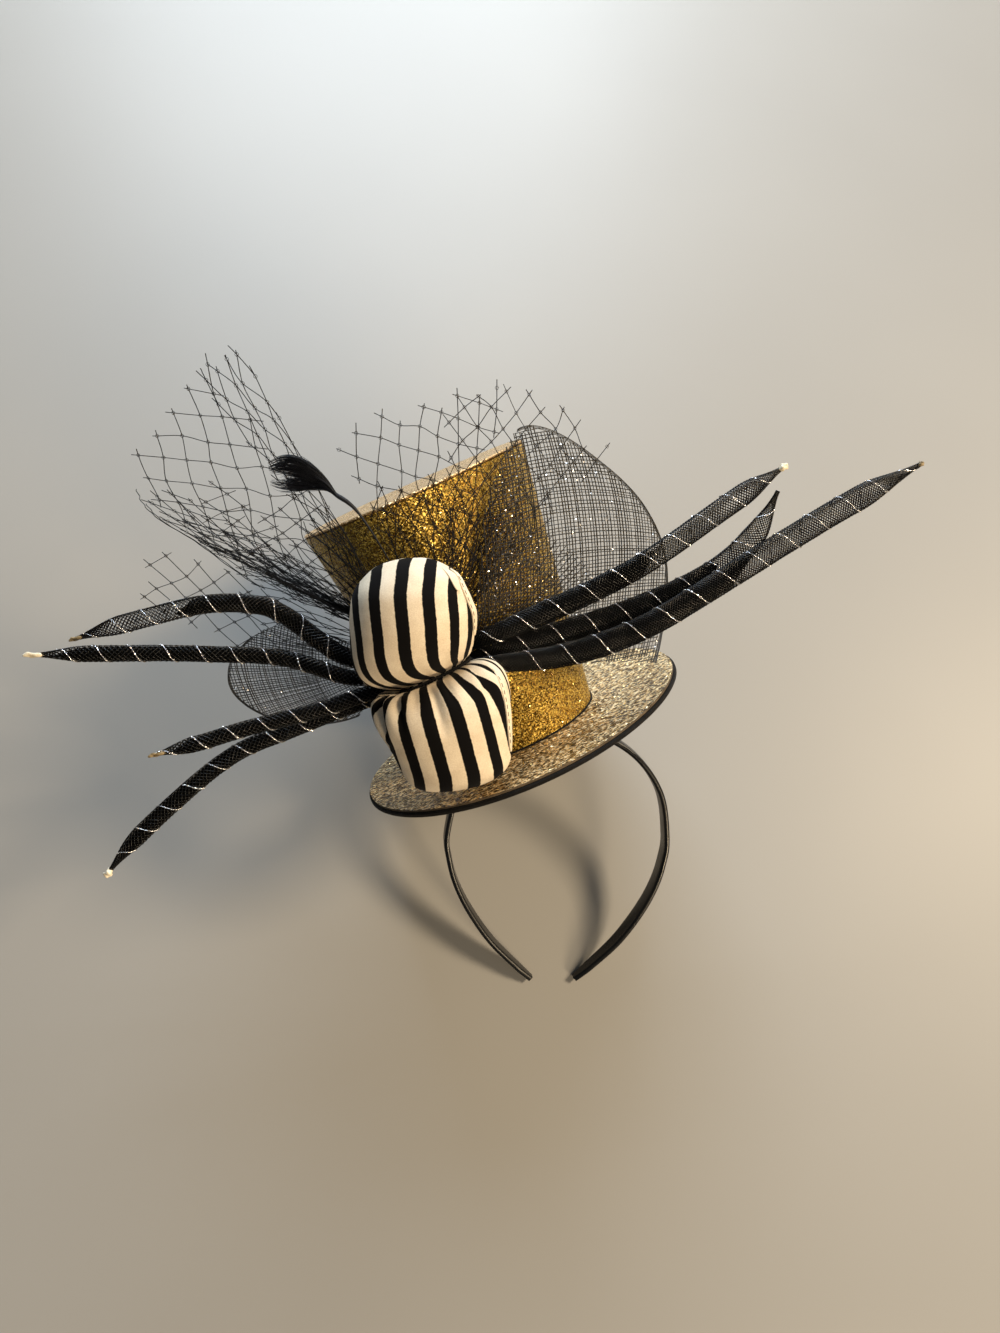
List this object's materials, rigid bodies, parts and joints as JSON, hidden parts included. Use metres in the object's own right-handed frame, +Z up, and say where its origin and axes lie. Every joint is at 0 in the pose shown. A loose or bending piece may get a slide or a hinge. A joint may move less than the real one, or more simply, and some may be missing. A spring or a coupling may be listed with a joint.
{
  "type": "mini top hat headband",
  "caption": "Mini gold glitter top hat set at a slant on a black headband, trimmed with a stuffed striped bow, mesh tubes, straw fans, net veil and a feather.",
  "frame": {"origin": "middle of the bounding box, at the level of the table the headpiece lies on", "axes": "+X along the spread of the mesh tubes, to the viewer's right; +Y away from the viewer, towards the top of the crown; +Z up from the table"},
  "size_m": [0.3654, 0.2478, 0.2],
  "materials": {
    "black_plastic": "moulded, glossy",
    "black_felt": "matt, fuzzy felt",
    "gold_glitter": "glitter cloth on stiff card",
    "striped_cloth": "woven cotton, black and cream stripes",
    "black_cord": "twisted cord",
    "crin_mesh": "braided nylon mesh with a metallic thread",
    "sinamay_straw": "open straw weave with a folded hem",
    "veil_net": "knotted diamond net",
    "black_feather": "soft plume"
  },
  "bodies": {
    "root": {"headband": "black_plastic", "brim_felt": "black_felt", "brim_cover": "gold_glitter", "crown_wall": "gold_glitter", "crown_tip": "gold_glitter", "trim_base": "black_felt", "bow_puff_upper": "striped_cloth", "bow_puff_lower": "striped_cloth", "bow_tie": "black_cord", "feather_quill": "black_feather", "feather_vane": "black_feather", "net_left": "veil_net", "net_low": "veil_net", "net_crown": "veil_net", "sinamay_right": "sinamay_straw", "sinamay_left": "sinamay_straw", "crin_a": "crin_mesh", "crin_b": "crin_mesh", "crin_c": "crin_mesh", "crin_d": "crin_mesh", "crin_e": "crin_mesh", "crin_f": "crin_mesh", "crin_g": "crin_mesh"}
  },
  "joints": []
}
